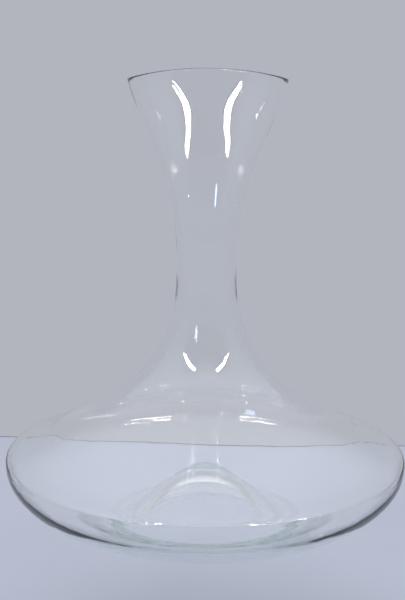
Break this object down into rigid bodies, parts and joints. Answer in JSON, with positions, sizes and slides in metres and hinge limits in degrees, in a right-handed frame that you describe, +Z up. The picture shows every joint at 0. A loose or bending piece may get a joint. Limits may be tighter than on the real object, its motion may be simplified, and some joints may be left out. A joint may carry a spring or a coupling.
{
  "type": "wine decanter",
  "caption": "Clear blown-glass wine decanter: flared saddle-cut mouth, narrow throat, concave shoulder, wide low bowl and a pushed-up punt in the base.",
  "frame": {"origin": "centre of the base, on the surface that the decanter stands on", "axes": "+Z up along the decanter's axis; the rim is high at +Y and -Y and low at +X and -X"},
  "size_m": [0.22, 0.22, 0.2552],
  "materials": {
    "clear_glass": "fire-polished, very slightly green in the thick base"
  },
  "bodies": {
    "root": {"lip": "clear_glass", "mouth": "clear_glass", "throat": "clear_glass", "shoulder": "clear_glass", "bowl_top": "clear_glass", "bowl_wall": "clear_glass", "heel": "clear_glass", "foot_ring": "clear_glass", "punt": "clear_glass"}
  },
  "joints": []
}
